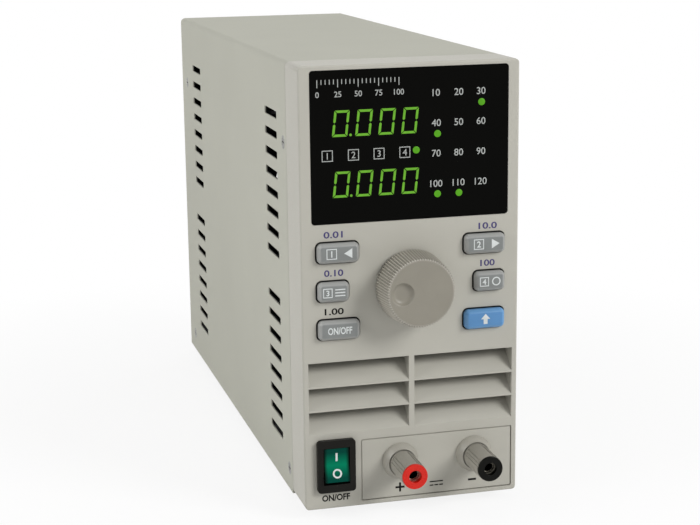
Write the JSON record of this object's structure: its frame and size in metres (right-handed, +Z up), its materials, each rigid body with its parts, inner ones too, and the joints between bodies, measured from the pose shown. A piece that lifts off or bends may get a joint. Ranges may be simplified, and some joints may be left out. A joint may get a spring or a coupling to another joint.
{
  "type": "dc electronic load",
  "caption": "Tall, narrow bench instrument that loads a dc supply: digit display window, keys, ridged knob, cooling grille, rocker switch and screw-down binding posts.",
  "frame": {"origin": "on the ground under the middle of the overall box", "axes": "+Z up, the front face looks along -Y, +X to the right seen from the front"},
  "size_m": [0.088, 0.2916, 0.179],
  "materials": {
    "case_paint": "satin",
    "front_plastic": "satin",
    "window": "gloss",
    "knob_plastic": "satin",
    "key_plastic": "satin",
    "blue_key_plastic": "satin",
    "black_plastic": "satin",
    "green_rocker": "gloss",
    "red_ring": "gloss",
    "black_ring": "gloss",
    "red_slider": "gloss",
    "plated_steel": "polished",
    "sheet_steel": "satin",
    "plated_brass": "satin",
    "copper": "satin",
    "circuit_board": "satin",
    "display_module": "gloss",
    "lamp_green": "gloss",
    "foot_rubber": "matte",
    "sink_aluminium": "satin",
    "black_epoxy": "matte",
    "capacitor_sleeve": "gloss",
    "core_steel": "matte",
    "winding_tape": "satin",
    "fuse_glass": "gloss"
  },
  "bodies": {
    "case": {"cover": "case_paint", "base_pan": "case_paint", "rear_panel": "case_paint", "front_bezel": "front_plastic", "terminal_panel": "front_plastic", "display_window": "window", "post_collars": "knob_plastic", "rocker_housing": "black_plastic", "key_switches": "black_plastic", "fan_frame": "black_plastic", "inlet_body": "black_plastic", "serial_block": "black_plastic", "selector_body": "black_plastic", "cover_screws": "plated_steel", "pan_screws": "plated_steel", "bezel_screws": "plated_steel", "board_screws": "plated_steel", "fan_guard": "plated_steel", "fan_screws": "plated_steel", "jack_screws": "plated_steel", "post_nuts": "plated_steel", "front_subpanel": "sheet_steel", "serial_shell": "sheet_steel", "encoder_body": "sheet_steel", "post_studs": "plated_brass", "rocker_blades": "plated_brass", "board_standoffs": "plated_brass", "heatsink_standoffs": "plated_brass", "inlet_pins": "plated_brass", "bus_bars": "copper", "display_board": "circuit_board", "main_board": "circuit_board", "upper_display": "display_module", "lower_display": "display_module", "indicator_leds": "lamp_green", "feet": "foot_rubber", "heatsink": "sink_aluminium", "power_transistors": "black_epoxy", "filter_capacitors": "capacitor_sleeve", "transformer_core": "core_steel", "transformer_coil": "winding_tape"},
    "knob": {"knob": "knob_plastic", "encoder_shaft": "plated_steel"},
    "top_left_key": {"top_left_key": "key_plastic"},
    "mid_left_key": {"mid_left_key": "key_plastic"},
    "low_left_key": {"low_left_key": "key_plastic"},
    "top_right_key": {"top_right_key": "key_plastic"},
    "mid_right_key": {"mid_right_key": "key_plastic"},
    "low_right_key": {"low_right_key": "blue_key_plastic"},
    "rocker": {"rocker": "green_rocker"},
    "positive_ring": {"positive_ring": "red_ring"},
    "positive_cap": {"positive_cap": "knob_plastic"},
    "negative_ring": {"negative_ring": "black_ring"},
    "negative_cap": {"negative_cap": "knob_plastic"},
    "fan_rotor": {"fan_rotor": "black_plastic"},
    "fuse_drawer": {"fuse_drawer": "black_plastic", "fuse": "fuse_glass"},
    "selector_slider": {"selector_slider": "red_slider"}
  },
  "joints": [
    {"name": "knob_turn", "type": "hinge", "parent": "case", "child": "knob", "pos_m": [0, -0.1322, 0.0923], "axis": [0, -1, 0], "continuous": true},
    {"name": "top_left_key_press", "type": "slide", "parent": "case", "child": "top_left_key", "axis": [0, 1, 0], "range_m": [0, 0.0008], "stiffness_N_per_m": 300},
    {"name": "mid_left_key_press", "type": "slide", "parent": "case", "child": "mid_left_key", "axis": [0, 1, 0], "range_m": [0, 0.0008], "stiffness_N_per_m": 300},
    {"name": "low_left_key_press", "type": "slide", "parent": "case", "child": "low_left_key", "axis": [0, 1, 0], "range_m": [0, 0.0008], "stiffness_N_per_m": 300},
    {"name": "top_right_key_press", "type": "slide", "parent": "case", "child": "top_right_key", "axis": [0, 1, 0], "range_m": [0, 0.0008], "stiffness_N_per_m": 300},
    {"name": "mid_right_key_press", "type": "slide", "parent": "case", "child": "mid_right_key", "axis": [0, 1, 0], "range_m": [0, 0.0008], "stiffness_N_per_m": 300},
    {"name": "low_right_key_press", "type": "slide", "parent": "case", "child": "low_right_key", "axis": [0, 1, 0], "range_m": [0, 0.0008], "stiffness_N_per_m": 300},
    {"name": "rocker_tilt", "type": "hinge", "parent": "case", "child": "rocker", "pos_m": [-0.0314, -0.1236, 0.022], "axis": [1, 0, 0], "range_deg": [0, 18]},
    {"name": "positive_lift", "type": "slide", "parent": "case", "child": "positive_ring", "axis": [0, -1, 0], "range_m": [0, 0.004]},
    {"name": "positive_turn", "type": "hinge", "parent": "positive_ring", "child": "positive_cap", "pos_m": [-0.0049, -0.1372, 0.0213], "axis": [0, -1, 0], "range_deg": [0, 1440.5]},
    {"name": "negative_lift", "type": "slide", "parent": "case", "child": "negative_ring", "axis": [0, -1, 0], "range_m": [0, 0.004]},
    {"name": "negative_turn", "type": "hinge", "parent": "negative_ring", "child": "negative_cap", "pos_m": [0.0258, -0.1372, 0.0213], "axis": [0, -1, 0], "range_deg": [0, 1440.5]},
    {"name": "fan_spin", "type": "hinge", "parent": "case", "child": "fan_rotor", "pos_m": [0, 0.1298, 0.117], "axis": [0, 1, 0], "continuous": true},
    {"name": "fuse_drawer_slide", "type": "slide", "parent": "case", "child": "fuse_drawer", "axis": [0, 1, 0], "range_m": [0, 0.018]},
    {"name": "selector_slide", "type": "slide", "parent": "case", "child": "selector_slider", "axis": [1, 0, 0], "range_m": [0, 0.005]}
  ],
  "couplings": [
    {"joint": "positive_turn", "follows": "positive_lift", "rad_per_m": 6283.2},
    {"joint": "negative_turn", "follows": "negative_lift", "rad_per_m": 6283.2}
  ]
}
